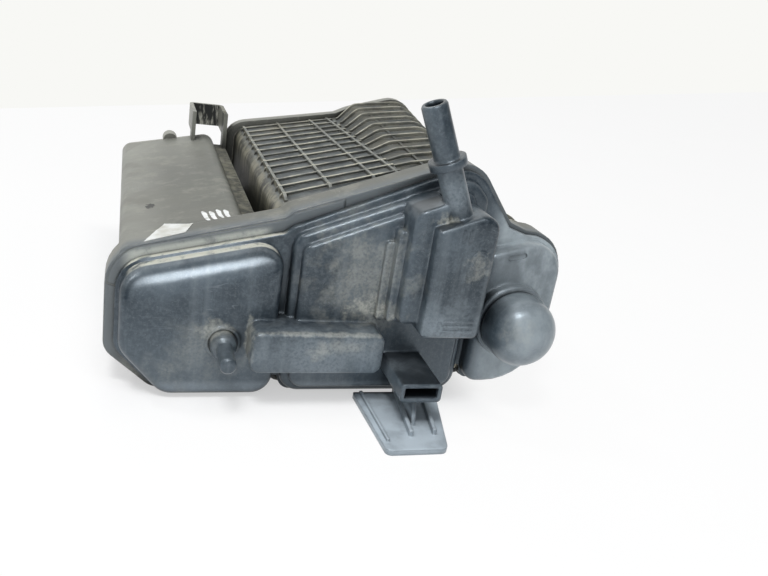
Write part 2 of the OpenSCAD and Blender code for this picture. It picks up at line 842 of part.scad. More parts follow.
// Springs press the charge forward; each has a post on its rear cover
spring_left_at = [(left_x + left_inset + left_chamber_x) / 2 + 2, 40];
spring_low_at = [(mid_chamber_x + groove_right_x) / 2, 31];
spring_high_at = [(mid_chamber_x + groove_right_x) / 2, 77];
spring_right_at = [(groove_right_x + right_x - right_inset) / 2, 50];
post_d = spring_d - 2 * wire_d - 1.6;
post_l = 8;
seat_h = 3;

module post(at_xz, y, length) {
    difference() {
        rod(at_xz[0], y, at_xz[1], post_d, length);
        rod(at_xz[0], y - over, at_xz[1], post_d - 4, length + 2 * over);
    }
}

module rear_cover_left() {
    color([0.40, 0.40, 0.38])
        seated() {
            run(body_d, rear_t)
                shape(left_chamber);
            post(spring_left_at, body_d - post_l, post_l + 1);
            rod(left_x + 38.5, body_d + 1, left_roof(left_x + 38.5) - 1, boss_d, rear_t + boss_l - 1);
        }
}

module rear_cover_right() {
    color([0.40, 0.40, 0.38])
        seated() {
            run(body_d, rear_t)
                rear_rim();
            post(spring_low_at, body_d - post_l, post_l + 1);
            post(spring_high_at, body_d - post_l, post_l + 1);
            post(spring_right_at, body_d - post_l, post_l + 1);
        }
}

// Vent cap: a domed shell whose inner ribs rest on the end of the vent neck
cap_gap = 2;
cap_y = -dome_d - 6 - cap_gap;
cap_skirt = 9;
neck_reach = cap_y - neck_front;

module cap_form(r, top, skirt) {
    rotate_extrude()
        polygon(concat([[0, 0], [r, 0]],
            [for (a = [0:9:90]) [r * cos(a), skirt + (top - skirt) * sin(a)]]));
}

module vent_cap() {
    color([0.16, 0.18, 0.20])
        seated()
            translate([vent_x, cap_y, vent_z])
                rotate([90, 0, 0])
                    difference() {
                        cap_form(cap_d / 2, cap_l, cap_skirt);
                        difference() {
                            translate([0, 0, -0.02])
                                cap_form(cap_d / 2 - cap_wall, cap_l - cap_wall, cap_skirt);
                            cap_ribs();
                        }
                    }
}

module cap_ribs() {
    difference() {
        for (a = [30:60:150])
            rotate([0, 0, a])
                translate([-cap_d / 2, -1, 3])
                    cube([cap_d, 2, cap_l]);
        translate([0, 0, -over])
            cylinder(d = vent_neck_d + fit, h = neck_reach + over);
    }
}

module vent_filter() {
    color([0.55, 0.52, 0.42])
        seated()
            rod(vent_x, neck_front + 2, vent_z, vent_bore_d - fit, lip_y - neck_front - 2);
}

// Places of the charge along y
bed_y = front_felt_t;
plate_y = body_d - spring_l - plate_t;
rear_felt_y = plate_y - rear_felt_t;

module front_filter_left() {
    color([0.75, 0.73, 0.66])
        seated()
            run(0, front_felt_t)
                left_inside(fit);
}

module front_filter_middle() {
    color([0.75, 0.73, 0.66])
        seated()
            run(0, front_felt_t)
                mid_inside(fit);
}

module front_filter_right() {
    color([0.75, 0.73, 0.66])
        seated()
            run(0, front_felt_t)
                right_inside(fit);
}

module carbon_bed_left() {
    color([0.08, 0.08, 0.08])
        seated()
            run(bed_y, rear_felt_y - bed_y)
                left_inside(fit);
}

module carbon_bed_middle() {
    color([0.08, 0.08, 0.08])
        seated()
            run(bed_y, rear_felt_y - bed_y)
                mid_inside(fit);
}

module carbon_bed_right() {
    color([0.08, 0.08, 0.08])
        seated()
            run(bed_y, rear_felt_y - bed_y)
                right_inside(fit);
}

module rear_filter_left() {
    color([0.75, 0.73, 0.66])
        seated()
            run(rear_felt_y, rear_felt_t)
                left_inside(fit);
}

module rear_filter_middle() {
    color([0.75, 0.73, 0.66])
        seated()
            run(rear_felt_y, rear_felt_t)
                mid_inside(fit);
}

module rear_filter_right() {
    color([0.75, 0.73, 0.66])
        seated()
            run(rear_felt_y, rear_felt_t)
                right_inside(fit);
}

// Rows of slots in the pressure plates
module slots() {
    for (x = [left_x + 10:16:right_x - 10])
        for (z = [8:9:shoulder_z])
            translate([x, z])
                square([11, 4]);
}

module pressure_plate_left() {
    color([0.30, 0.30, 0.31])
        seated() {
            run(plate_y, plate_t)
                difference() {
                    left_inside(fit);
                    intersection() {
                        left_inside(fit + 5);
                        slots();
                    }
                }
            post(spring_left_at, plate_y + 1, plate_t + seat_h - 1);
        }
}

module pressure_plate_middle() {
    color([0.30, 0.30, 0.31])
        seated() {
            run(plate_y, plate_t)
                difference() {
                    mid_inside(fit);
                    intersection() {
                        mid_inside(fit + 5);
                        slots();
                    }
                }
            post(spring_low_at, plate_y + 1, plate_t + seat_h - 1);
            post(spring_high_at, plate_y + 1, plate_t + seat_h - 1);
        }
}

module pressure_plate_right() {
    color([0.30, 0.30, 0.31])
        seated() {
            run(plate_y, plate_t)
                difference() {
                    right_inside(fit);
                    intersection() {
                        right_inside(fit + 5);
                        slots();
                    }
                }
            post(spring_right_at, plate_y + 1, plate_t + seat_h - 1);
        }
}

// One spring: a wire swept along a coil whose first and last half turns lie flat
wire_sides = 8;
turn_steps = 16;
coil_steps = spring_turns * turn_steps;
coil_r = (spring_d - wire_d) / 2;
coil_rise = spring_l - wire_d;
function coil_y(k) = wire_d / 2 + coil_rise * min(1, max(0, (k - turn_steps / 2) / (coil_steps - turn_steps)));
function wire_point(k, j) =
    let (a = 360 * k / turn_steps, b = 360 * (j + 0.5) / wire_sides, w = wire_d / 2 / cos(180 / wire_sides),
        r = coil_r + w * cos(b))
    [r * cos(a), coil_y(k) + w * sin(b), r * sin(a)];

module spring(at_xz) {
    points = [for (k = [0:coil_steps]) for (j = [0:wire_sides - 1]) wire_point(k, j)];
    sides = [for (k = [0:coil_steps - 1]) for (j = [0:wire_sides - 1])
        let (a = k * wire_sides, b = (k + 1) * wire_sides, n = (j + 1) % wire_sides)
        [a + j, b + j, b + n, a + n]];
    ends = [[for (j = [0:wire_sides - 1]) j], [for (j = [wire_sides - 1:-1:0]) coil_steps * wire_sides + j]];
    color([0.62, 0.63, 0.65])
        seated()
            translate([at_xz[0], body_d - spring_l, at_xz[1]])
                polyhedron(points, concat(sides, ends));
}

module spring_left() {
    spring(spring_left_at);
}

module spring_middle_low() {
    spring(spring_low_at);
}

module spring_middle_high() {
    spring(spring_high_at);
}

module spring_right() {
    spring(spring_right_at);
}

main_housing();
front_cover();
rear_cover_left();
rear_cover_right();
vent_cap();
vent_filter();
front_filter_left();
front_filter_middle();
front_filter_right();
carbon_bed_left();
carbon_bed_middle();
carbon_bed_right();
rear_filter_left();
rear_filter_middle();
rear_filter_right();
pressure_plate_left();
pressure_plate_middle();
pressure_plate_right();
spring_left();
spring_middle_low();
spring_middle_high();
spring_right();
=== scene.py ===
import json
from math import cos, radians, sin, tan

import bmesh
import bpy
from mathutils import Matrix, Vector


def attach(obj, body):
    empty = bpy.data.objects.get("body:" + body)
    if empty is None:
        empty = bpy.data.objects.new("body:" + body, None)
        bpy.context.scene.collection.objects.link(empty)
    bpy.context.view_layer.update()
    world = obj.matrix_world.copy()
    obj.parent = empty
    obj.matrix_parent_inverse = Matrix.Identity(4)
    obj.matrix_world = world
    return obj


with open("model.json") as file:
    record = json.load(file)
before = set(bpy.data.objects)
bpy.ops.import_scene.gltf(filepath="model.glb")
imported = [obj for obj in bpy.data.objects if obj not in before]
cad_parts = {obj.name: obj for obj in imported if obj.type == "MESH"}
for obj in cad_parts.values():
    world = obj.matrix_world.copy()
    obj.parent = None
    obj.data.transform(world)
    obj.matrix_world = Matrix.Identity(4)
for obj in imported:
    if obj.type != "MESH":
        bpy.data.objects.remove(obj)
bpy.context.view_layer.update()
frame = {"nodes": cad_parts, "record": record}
scene = bpy.context.scene
scene.view_settings.view_transform = "Standard"

# All places are in metres in the part's frame: +X across the front, +Y to the rear, +Z up.


# Camera: the photograph's place, turn and lens

CAMERA_PLACE = (-0.1155, -0.4571, 0.212)
CAMERA_TURNS = ((-19.96, "Z"), (69.02, "X"), (9.5, "Z"))    # heading, tilt and roll in degrees

camera_data = bpy.data.cameras.new("camera")
camera_data.sensor_width = 36
camera_data.lens = 37.03
camera_data.clip_start = 0.01
camera = bpy.data.objects.new("camera", camera_data)
pose = Matrix.Translation(CAMERA_PLACE)
for degrees, axis in CAMERA_TURNS:
    pose = pose @ Matrix.Rotation(radians(degrees), 4, axis)
camera.matrix_world = pose
scene.collection.objects.link(camera)
scene.camera = camera


# Shader graphs

def colour(red, green, blue):
    """A colour from the usual 0 to 255 values, as Blender's linear one."""
    channels = [value / 255 for value in (red, green, blue)]
    return [c / 12.92 if c <= 0.04045 else ((c + 0.055) / 1.055) ** 2.4 for c in channels] + [1]


class Graph:
    """One material and short calls for the nodes it is made of."""

    def __init__(self, name):
        self.material = bpy.data.materials.new(name)
        self.material.use_nodes = True
        self.tree = self.material.node_tree
        self.shader = self.tree.nodes["Principled BSDF"]
        self.place = self.tree.nodes.new("ShaderNodeTexCoord").outputs["Object"]
        self.x, self.y, self.z = self.split(self.place)
        self.normal = self.tree.nodes.new("ShaderNodeNewGeometry").outputs["Normal"]
        self.normal_x, self.normal_y, self.normal_z = self.split(self.normal)
        self.base = None

    def put(self, socket, value):
        if isinstance(value, bpy.types.NodeSocket):
            self.tree.links.new(value, socket)
        else:
            socket.default_value = value

    def node(self, kind, values, **settings):
        made = self.tree.nodes.new(kind)
        for name, value in settings.items():
            setattr(made, name, value)
        for key, value in values.items():
            self.put(made.inputs[key], value)
        return made

    def split(self, vector):
        return self.node("ShaderNodeSeparateXYZ", {0: vector}).outputs

    def math(self, operation, *values):
        made = self.node("ShaderNodeMath", dict(enumerate(values)), operation=operation)
        return made.outputs["Value"]

    def vector(self, operation, *values):
        return self.node("ShaderNodeVectorMath", dict(enumerate(values)), operation=operation)

    def chain(self, operation, values):
        result = values[0]
        for value in values[1:]:
            result = self.math(operation, result, value)
        return result

    def times(self, *values):
        return self.chain("MULTIPLY", values)

    def plus(self, *values):
        return self.chain("ADD", values)

    def minus(self, *values):
        return self.chain("SUBTRACT", values)

    def most(self, *values):
        return self.chain("MAXIMUM", values)

    def off(self, value, middle):
        """Distance of a value from a middle one."""
        return self.math("ABSOLUTE", self.minus(value, middle))

    def line(self, start, height, slope):
        """Height of a straight line along X that passes a start at a height."""
        return self.math("MULTIPLY_ADD", self.minus(self.x, start), slope, height)

    def fade(self, value, low, high, start=0.0, end=1.0):
        """Goes smoothly from start to end while the value goes from low to high."""
        return self.node("ShaderNodeMapRange", {0: value, 1: low, 2: high, 3: start, 4: end},
                         interpolation_type="SMOOTHSTEP").outputs[0]

    def between(self, value, low, high, soft):
        return self.times(self.fade(value, low - soft, low + soft),
                          self.fade(value, high + soft, high - soft))

    def noise(self, scale, detail=4.0, rough=0.6, stretch=(1, 1, 1), warp=0.0):
        place = self.place
        if stretch != (1, 1, 1):
            place = self.vector("MULTIPLY", place, stretch).outputs["Vector"]
        return self.node("ShaderNodeTexNoise", {"Vector": place, "Scale": scale, "Detail": detail,
                                                "Roughness": rough, "Distortion": warp}).outputs["Fac"]

    def cells(self, scale):
        made = self.node("ShaderNodeTexVoronoi", {"Vector": self.place, "Scale": scale})
        return made.outputs["Distance"]

    def blend(self, share, first, second):
        made = self.node("ShaderNodeMix", {0: share}, data_type="RGBA")
        self.put(made.inputs[6], first)
        self.put(made.inputs[7], second)
        return made.outputs[2]

    def coat(self, tint, *shares):
        """Lays a colour over the base, as strongly as the shares multiplied together."""
        self.base = self.blend(self.times(*shares), self.base, tint)

    def away(self, centre, size):
        """Distance from a centre, where 1 is the edge of an oval of that half size."""
        shift = self.vector("SUBTRACT", self.place, centre).outputs["Vector"]
        scaled = self.vector("DIVIDE", shift, size).outputs["Vector"]
        return self.vector("LENGTH", scaled).outputs["Value"]

    def patch(self, centre, size, ragged, grain):
        """A soft oval patch with a ragged edge, broken up by grain."""
        uneven = self.fade(self.noise(grain, 3.0), 0.3, 0.7, -ragged, ragged)
        edge = self.plus(self.away(centre, size), uneven)
        return self.times(self.fade(edge, 1.25, 0.15),
                          self.fade(self.noise(700, 4.0), 0.3, 0.6, 0.45, 1.0))

    def crevice(self, reach, low, high):
        """How far a place is shut in, from the open share of what lies within reach."""
        open_share = self.node("ShaderNodeAmbientOcclusion", {"Distance": reach}, samples=8)
        return self.fade(open_share.outputs["AO"], low, high)

    def rounded(self, radius, samples):
        return self.node("ShaderNodeBevel", {"Radius": radius}, samples=samples).outputs[0]

    def edges(self, radius):
        turned = self.vector("DOT_PRODUCT", self.rounded(radius, 6), self.normal).outputs["Value"]
        return self.fade(turned, 0.98, 0.8)

    def scratches(self, scale, stretch, thin=0.006, spread=0.6):
        wave = self.noise(scale, 1.0, 0.4, stretch)
        where = self.fade(self.noise(35, 2.0), spread, spread + 0.08)
        return self.times(self.fade(self.off(wave, 0.5), thin, 0.2 * thin), where)

    def close(self, rough, height, depth, rounding=None, lean=None):
        """Joins colour, roughness and bump height to the shader. Edges are rounded by a radius,
        and a crowned face leans by a vector."""
        self.put(self.shader.inputs["Base Color"], self.base)
        self.put(self.shader.inputs["Roughness"], rough)
        bump = self.node("ShaderNodeBump", {"Height": height, "Distance": depth, "Strength": 0.6})
        if rounding is not None:
            normal = self.rounded(rounding, 12)
            if lean is not None:
                leant = self.vector("ADD", normal, lean).outputs["Vector"]
                normal = self.vector("NORMALIZE", leant).outputs["Vector"]
            self.put(bump.inputs["Normal"], normal)
        self.put(self.shader.inputs["Normal"], bump.outputs[0])
        return self.material


# Lines of the solids that the surfaces follow, each as its start along X, its height and its slope

COVER_LINE = (-0.1041, 0.0722, 0.2447)     # upper left edge of the cover
SECTION_LINE = (-0.0775, 0.0759, 0.245)    # upper edge of the cover's left section
ROOF_LINE = (-0.039, 0.0965, 0.20345)      # rear end of the ribbed roof, between its ribs
ROOF_GAIN = 0.081                          # slope that this roof gains towards the front
RIB_FIRST, RIB_LAST = -0.052, 0.116        # first and last cross rib along Y
RIB_PITCH = 0.014


def housing_plastic():
    g = Graph("housing_plastic")
    up = g.fade(g.normal_z, 0.25, 0.8)

    # Plain faces: grey with clouds, wiping marks and smudges, lighter to the left and the rear
    cloud = g.fade(g.noise(14, 5.0, 0.6), 0.3, 0.7)
    g.base = g.blend(cloud, colour(82, 84, 78), colour(100, 102, 96))
    g.coat(colour(150, 151, 144), g.fade(g.x, -0.085, -0.112), 0.58)
    wiped = g.fade(g.noise(45, 4.0, 0.6, (0.35, 1, 1)), 0.42, 0.66)
    g.coat(colour(108, 108, 100), wiped, 0.35)
    g.coat(colour(158, 159, 151), g.fade(g.y, 0.02, 0.13), 0.4)
    smudge = g.fade(g.noise(32, 3.0, 0.5, (1, 0.7, 1), 0.4), 0.56, 0.7)
    g.coat(colour(92, 92, 84), up, smudge, g.fade(g.x, -0.055, -0.07), 0.35)

    # Sides and rear: blotches of grime, dust low down and rubbed streaks
    side = g.times(g.fade(up, 0, 1, 1.0, 0.0), g.fade(g.y, -0.066, -0.058))
    grime = g.fade(g.noise(38, 6.0, 0.68, (1, 1, 0.6), 0.3), 0.45, 0.68)
    g.coat(colour(76, 76, 69), side, grime, 0.5)
    low_dust = g.times(g.fade(g.z, 0.055, 0.0), g.fade(g.noise(120, 5.0, 0.7), 0.36, 0.62))
    g.coat(colour(176, 173, 158), side, low_dust, 0.45)
    g.coat(colour(190, 189, 178), side, g.scratches(120, (1.0, 1.0, 0.08), 0.012, 0.52), 0.4)

    # Front: the flange is darker and bluer, with cream dust on its bare face by the cover's edge
    g.coat(colour(92, 100, 106), g.fade(g.y, -0.074, -0.083), 0.8)
    over_cover = g.minus(g.z, g.line(*COVER_LINE))
    bare_face = g.times(g.between(g.y, -0.0850, -0.0836, 0.0003), g.fade(g.normal_y, -0.5, -0.9),
                        g.between(g.x, -0.112, -0.046, 0.004), g.fade(over_cover, 0.0055, 0.002))
    g.coat(colour(186, 190, 184), bare_face, g.fade(g.noise(140, 5.0, 0.7), 0.3, 0.55, 0.35, 1.0), 0.85)

    # Ribbed roof: dark bays, pale rib tops, brown dirt to the rear and barrel, painted shade in barrel
    # gaps
    gained = g.times(g.minus(g.x, ROOF_LINE[0]), g.fade(g.y, RIB_LAST, RIB_FIRST), ROOF_GAIN)
    over_roof = g.minus(g.z, g.plus(g.line(*ROOF_LINE), gained))
    pitches = g.math("DIVIDE", g.minus(g.y, RIB_FIRST), RIB_PITCH)
    off_rib = g.off(g.math("FRACT", g.plus(pitches, 100.5)), 0.5)
    on_cross = g.fade(off_rib, 0.1, 0.075)
    on_barrel = g.fade(g.x, 0.0295, 0.0325)
    off_barrel = g.fade(g.x, 0.0325, 0.0295)
    rib = g.most(g.times(g.fade(over_roof, 0.0004, 0.0013), off_barrel), g.times(on_cross, on_barrel))
    not_upright = g.fade(g.fade(g.normal_z, -0.1, 0.4), 0, 1, 0.45, 1.0)
    ribbed = g.times(g.fade(g.x, -0.0375, -0.034), g.fade(g.y, -0.064, -0.056),
                     g.fade(g.y, 0.1225, 0.1215), not_upright)
    bay = g.blend(g.fade(g.noise(70, 5.0, 0.65), 0.35, 0.65), colour(46, 53, 57), colour(94, 100, 101))
    g.coat(bay, ribbed, 0.92)
    # Painted shade deep in the gaps between the barrel's ribs
    g.coat(colour(38, 38, 33), ribbed, on_barrel, g.fade(off_rib, 0.16, 0.34), 0.45)
    broken = g.fade(g.noise(150, 5.0, 0.7, (0.45, 1, 1)), 0.39, 0.58, 0.08, 1.0)
    crest = g.blend(on_cross, colour(132, 134, 127), colour(194, 192, 174))
    g.coat(crest, ribbed, rib, broken, 0.9)
    dirty_end = g.most(g.fade(g.y, 0.06, 0.118), g.times(on_barrel, 0.5))
    g.coat(colour(112, 106, 84), ribbed, dirty_end, g.fade(g.noise(55, 5.0, 0.7), 0.42, 0.62), 0.6)

    # Gap between the chambers: streaked wall, darker mottled shelf, painted shade in the depth
    wall = g.times(g.fade(g.normal_x, -0.5, -0.9), g.fade(g.x, -0.046, -0.042),
                   g.fade(g.x, -0.030, -0.034), g.fade(g.y, -0.07, -0.06))
    streak = g.fade(g.noise(150, 5.0, 0.7, (1, 1, 0.12)), 0.42, 0.6)
    g.coat(g.blend(streak, colour(28, 29, 25), colour(140, 137, 118)), wall, 0.85)
    # The shelf is darker, mottled from near black to grey-brown
    shelf = g.times(g.between(g.x, -0.0535, -0.0405, 0.0008), g.fade(g.y, -0.07, -0.066), up)
    shelf_mottle = g.fade(g.noise(130, 5.0, 0.7), 0.38, 0.6)
    g.coat(g.blend(shelf_mottle, colour(32, 32, 26), colour(106, 104, 88)), shelf, 0.75)
    # Painted shade, near black, wherever the housing is shut in
    g.coat(colour(24, 25, 22), g.crevice(0.035, 0.72, 0.34), 0.94)

    # Loop: pale outside; inside, painted shade near black with pale scratches
    g.coat(colour(162, 162, 152), g.fade(g.y, 0.1285, 0.1300), 0.5)
    scraped = g.fade(g.noise(230, 4.0, 0.7, (1, 1, 0.2)), 0.5, 0.66)
    g.coat(g.blend(scraped, colour(34, 36, 35), colour(170, 170, 160)),
           g.fade(g.normal_y, -0.3, -0.8), g.fade(g.y, 0.1475, 0.1485))

    # Dust, worn edges, fine scratches and one dark stain
    dust = g.times(up, g.fade(g.noise(85, 6.0, 0.7), 0.48, 0.72), g.fade(ribbed, 0, 1, 0.3, 0.1))
    g.coat(colour(168, 167, 154), dust)
    worn = g.times(g.edges(0.0011), g.fade(g.noise(90, 4.0), 0.35, 0.62))
    g.coat(colour(184, 183, 170), worn, g.fade(ribbed, 0, 1, 0.4, 0.15))
    scratch = g.scratches(260, (1.0, 0.05, 1.0))
    g.coat(colour(182, 182, 174), scratch, 0.25)
    stain = g.plus(g.away((-0.1006, -0.0262, 0.0794), (0.0026, 0.0042, 0.006)),
                   g.fade(g.noise(500, 3.0), 0.3, 0.7, -0.35, 0.35))
    g.coat(colour(24, 25, 25), g.fade(stain, 1.1, 0.7))

    rough = g.most(g.fade(cloud, 0, 1, 0.38, 0.5), g.times(ribbed, 0.5), g.times(dust, 2.0),
                   g.times(shelf, 0.8))
    grain = g.plus(g.noise(900, 2.0), g.times(g.noise(160, 3.0), 1.2))
    height = g.minus(grain, g.times(scratch, 0.8))
    rounding = g.fade(g.y, -0.080, -0.083, 0.0007, 0.0022)
    return g.close(rough, height, 0.00012, rounding)


def cover_plastic(name, low, high, dusty, pale):
    """Dark satin plastic between two colours, under a film of dust, paler at the far right."""
    g = Graph(name)
    up = g.fade(g.normal_z, 0.35, 0.9)

    # The film: soft, uneven, heavier low down, with mottles, wiping marks and specks
    g.base = g.blend(g.fade(g.noise(16, 4.0, 0.55), 0.3, 0.7), colour(*low), colour(*high))
    haze = g.fade(g.noise(22, 4.0, 0.55, (1, 1, 0.8), 0.3), 0.4, 0.75)
    low_down = g.times(g.fade(g.z, 0.065, 0.015), 0.8)
    film = g.times(g.most(haze, low_down), dusty)
    g.coat(colour(118, 131, 141), film)
    powder = g.fade(g.noise(34, 5.0, 0.65, (1, 1, 0.7)), 0.36, 0.64, 0.3, 0.9)
    g.coat(colour(172, 182, 187), g.fade(g.x, 0.071, 0.082), powder,
           g.fade(g.x, 0.075, 0.115, 0.85 * pale, pale))
    g.coat(colour(128, 139, 146), g.fade(g.noise(380, 5.0, 0.75), 0.42, 0.66), 0.16)
    g.coat(colour(138, 147, 152), g.fade(g.noise(150, 4.0, 0.6, (1, 1, 0.06)), 0.5, 0.72), 0.16)
    g.coat(colour(150, 156, 156), g.fade(g.noise(1100, 3.0, 0.7), 0.6, 0.72), 0.22)

    # Settled dust, cream on the left section's ledge, and the dark top of the clip socket
    settled = g.times(up, g.fade(g.noise(110, 5.0, 0.7), 0.4, 0.68), 0.16)
    g.coat(colour(150, 157, 160), settled)
    ledge = g.times(g.fade(g.normal_z, 0.5, 0.85), g.between(g.x, -0.113, -0.038, 0.003),
                    g.between(g.y, -0.0935, -0.0843, 0.0006), g.fade(g.z, 0.05, 0.06),
                    g.fade(g.noise(140, 5.0, 0.7), 0.28, 0.5))
    g.coat(colour(200, 200, 187), ledge, 0.9)
    g.coat(colour(26, 28, 30), up, g.between(g.x, 0.0195, 0.0425, 0.001),
           g.between(g.y, -0.1335, -0.0985, 0.001), g.fade(g.z, 0.026, 0.0275), 0.8)

    # Painted shade, near black, in grooves and corners; slightly worn edges
    g.coat(colour(14, 17, 20), g.crevice(0.022, 0.6, 0.2), 0.9)
    g.coat(colour(150, 160, 168), g.edges(0.0012), g.fade(g.noise(110, 4.0), 0.4, 0.66), 0.3)

    # Broad dusted areas: cross channel, foot of the upright one, port's stem; the tongue, also painted
    # light
    dusted = g.most(g.times(g.patch((-0.016, -0.114, 0.034), (0.052, 0.012, 0.018), 0.3, 60), 0.8),
                    g.patch((0.046, -0.124, 0.054), (0.02, 0.012, 0.016), 0.3, 60),
                    g.patch((0.040, -0.110, 0.124), (0.016, 0.016, 0.016), 0.3, 60))
    g.coat(colour(140, 151, 158), dusted, 0.5)
    # The tongue's top: pale dust, lightened further as painted light over the shade it lies in
    tongue = g.times(g.fade(up, 0, 1, 0.6, 1.0), g.fade(g.z, 0.012, 0.008), g.fade(g.y, -0.096, -0.100),
                     g.fade(g.noise(60, 4.0), 0.3, 0.6, 0.6, 0.95))
    g.coat(colour(188, 200, 209), tongue)

    # Chalky marks where the photograph shows them: centre, half size, raggedness, grain, strength
    chalk = [
        ((0.008, -0.097, 0.0545), (0.016, 0.02, 0.008), 0.4, 190, 1.0),
        ((0.005, -0.097, 0.075), (0.026, 0.02, 0.03), 0.5, 90, 0.45),
        ((-0.0188, -0.114, 0.0363), (0.0058, 0.02, 0.0055), 0.4, 150, 0.5),
        ((-0.006, -0.114, 0.0390), (0.016, 0.01, 0.0042), 0.4, 110, 0.4),
        ((-0.016, -0.1125, 0.0452), (0.046, 0.0025, 0.0013), 0.5, 200, 0.6),
        ((0.037, -0.108, 0.109), (0.008, 0.009, 0.004), 0.4, 260, 1.0),
        ((-0.070, -0.0985, 0.0385), (0.009, 0.006, 0.008), 0.4, 160, 0.8),
        ((-0.078, -0.0985, 0.024), (0.022, 0.01, 0.02), 0.5, 60, 0.25),
        ((0.054, -0.122, 0.088), (0.007, 0.01, 0.008), 0.5, 220, 0.4),
        ((0.082, -0.128, 0.054), (0.009, 0.008, 0.008), 0.5, 200, 0.25),
        ((-0.0525, -0.0985, 0.036), (0.0022, 0.016, 0.012), 0.3, 240, 1.0),
    ]
    marks = g.most(*(g.times(g.patch(*shape), strength) for *shape, strength in chalk))
    g.coat(colour(172, 173, 164), marks, 0.8)
    scratch = g.most(g.scratches(240, (0.06, 1.0, 1.0)), g.scratches(260, (1.0, 1.0, 0.06), 0.006, 0.64))
    g.coat(colour(165, 172, 178), scratch, 0.15)

    dull = g.most(g.times(film, 0.3), g.times(settled, 0.7), g.times(marks, 0.8), ledge,
                  g.times(tongue, 0.4))
    rough = g.fade(dull, 0.0, 1.0, 0.28, 0.62)
    grain = g.plus(g.times(g.noise(700, 2.0), 0.06), g.times(g.noise(60, 2.0), 3.0))
    height = g.minus(grain, g.times(scratch, 0.8))
    g.shader.inputs["Specular IOR Level"].default_value = 0.75
    g.shader.inputs["Specular Tint"].default_value = (0.8, 0.91, 1.0, 1)

    # The left section's face is crowned below its sloping top edge
    crowned = g.times(g.fade(g.x, -0.036, -0.042), g.fade(g.y, -0.0930, -0.0950),
                      g.fade(g.normal_y, -0.3, -0.7))
    below = g.minus(g.line(*SECTION_LINE), g.z)
    tilt = g.times(crowned, g.fade(below, 0.018, 0.003, 0.0, 0.9))
    sideways = g.times(tilt, -SECTION_LINE[2])
    lean = g.node("ShaderNodeCombineXYZ", {"X": sideways, "Z": tilt}).outputs[0]
    return g.close(rough, height, 0.00012, 0.0025, lean)


def felt():
    g = Graph("felt")
    fibre = g.noise(1400, 5.0, 0.8, (1, 1, 3), 1.5)
    g.base = g.blend(g.fade(fibre, 0.35, 0.65), colour(196, 190, 170), colour(228, 224, 208))
    g.coat(colour(120, 118, 110), g.fade(g.noise(70), 0.5, 0.7), 0.4)
    return g.close(g.fade(fibre, 0, 1, 0.85, 1.0), fibre, 0.0006)


def carbon():
    g = Graph("carbon")
    grain = g.cells(420.0)
    g.base = g.blend(g.fade(grain, 0.0, 0.6), colour(58, 58, 60), colour(16, 16, 17))
    return g.close(g.fade(grain, 0.0, 0.6, 0.55, 0.9), g.minus(1.0, grain), 0.0012)


def plate_plastic():
    g = Graph("plate_plastic")
    cloud = g.noise(60, 4.0)
    g.base = g.blend(g.fade(cloud, 0.35, 0.65), colour(96, 98, 100), colour(120, 121, 122))
    g.coat(colour(165, 166, 166), g.edges(0.0008), 0.5)
    return g.close(g.fade(cloud, 0, 1, 0.4, 0.6), g.noise(800, 2.0), 0.00012)


def foam():
    g = Graph("foam")
    cell = g.cells(900.0)
    g.base = g.blend(g.fade(cell, 0.0, 0.7), colour(120, 116, 100), colour(188, 184, 166))
    return g.close(g.fade(cell, 0, 1, 0.85, 1.0), cell, 0.0006)


def spring_wire():
    g = Graph("spring_wire")
    drawn = g.noise(600, 3.0, 0.6, (1, 1, 6))
    g.base = g.blend(g.fade(drawn, 0.35, 0.65), colour(176, 178, 180), colour(208, 210, 212))
    g.shader.inputs["Metallic"].default_value = 1.0
    return g.close(g.fade(drawn, 0, 1, 0.25, 0.42), drawn, 0.00006)


def paper():
    g = Graph("paper")
    fibre = g.noise(500, 4.0)
    g.base = g.blend(g.fade(g.noise(90, 5.0), 0.4, 0.7), colour(226, 228, 226), colour(196, 196, 188))
    g.coat(colour(150, 150, 144), g.scratches(160, (1.0, 0.3, 1.0), 0.04), 0.6)
    return g.close(g.fade(fibre, 0, 1, 0.5, 0.7), fibre, 0.00012)


def paint():
    g = Graph("paint")
    brush = g.noise(420, 4.0, 0.6, (0.3, 1, 1))
    g.base = g.blend(g.fade(brush, 0.5, 0.68), colour(236, 238, 238), colour(188, 190, 186))
    return g.close(g.fade(brush, 0, 1, 0.35, 0.6), brush, 0.0002)


materials = {
    "housing_plastic": housing_plastic(),
    "cover_plastic": cover_plastic("cover_plastic", (19, 27, 34), (31, 40, 48), 0.31, 1.05),
    "plate_plastic": plate_plastic(),
    "felt": felt(),
    "carbon": carbon(),
    "foam": foam(),
    "spring_wire": spring_wire(),
}
cap_plastic = cover_plastic("cap_plastic", (40, 50, 58), (62, 73, 81), 0.35, 0.72)


# The solids: their materials, welded points and smooth shading

SHARP_EDGE = radians(35)
WELD_REACH = 0.00001


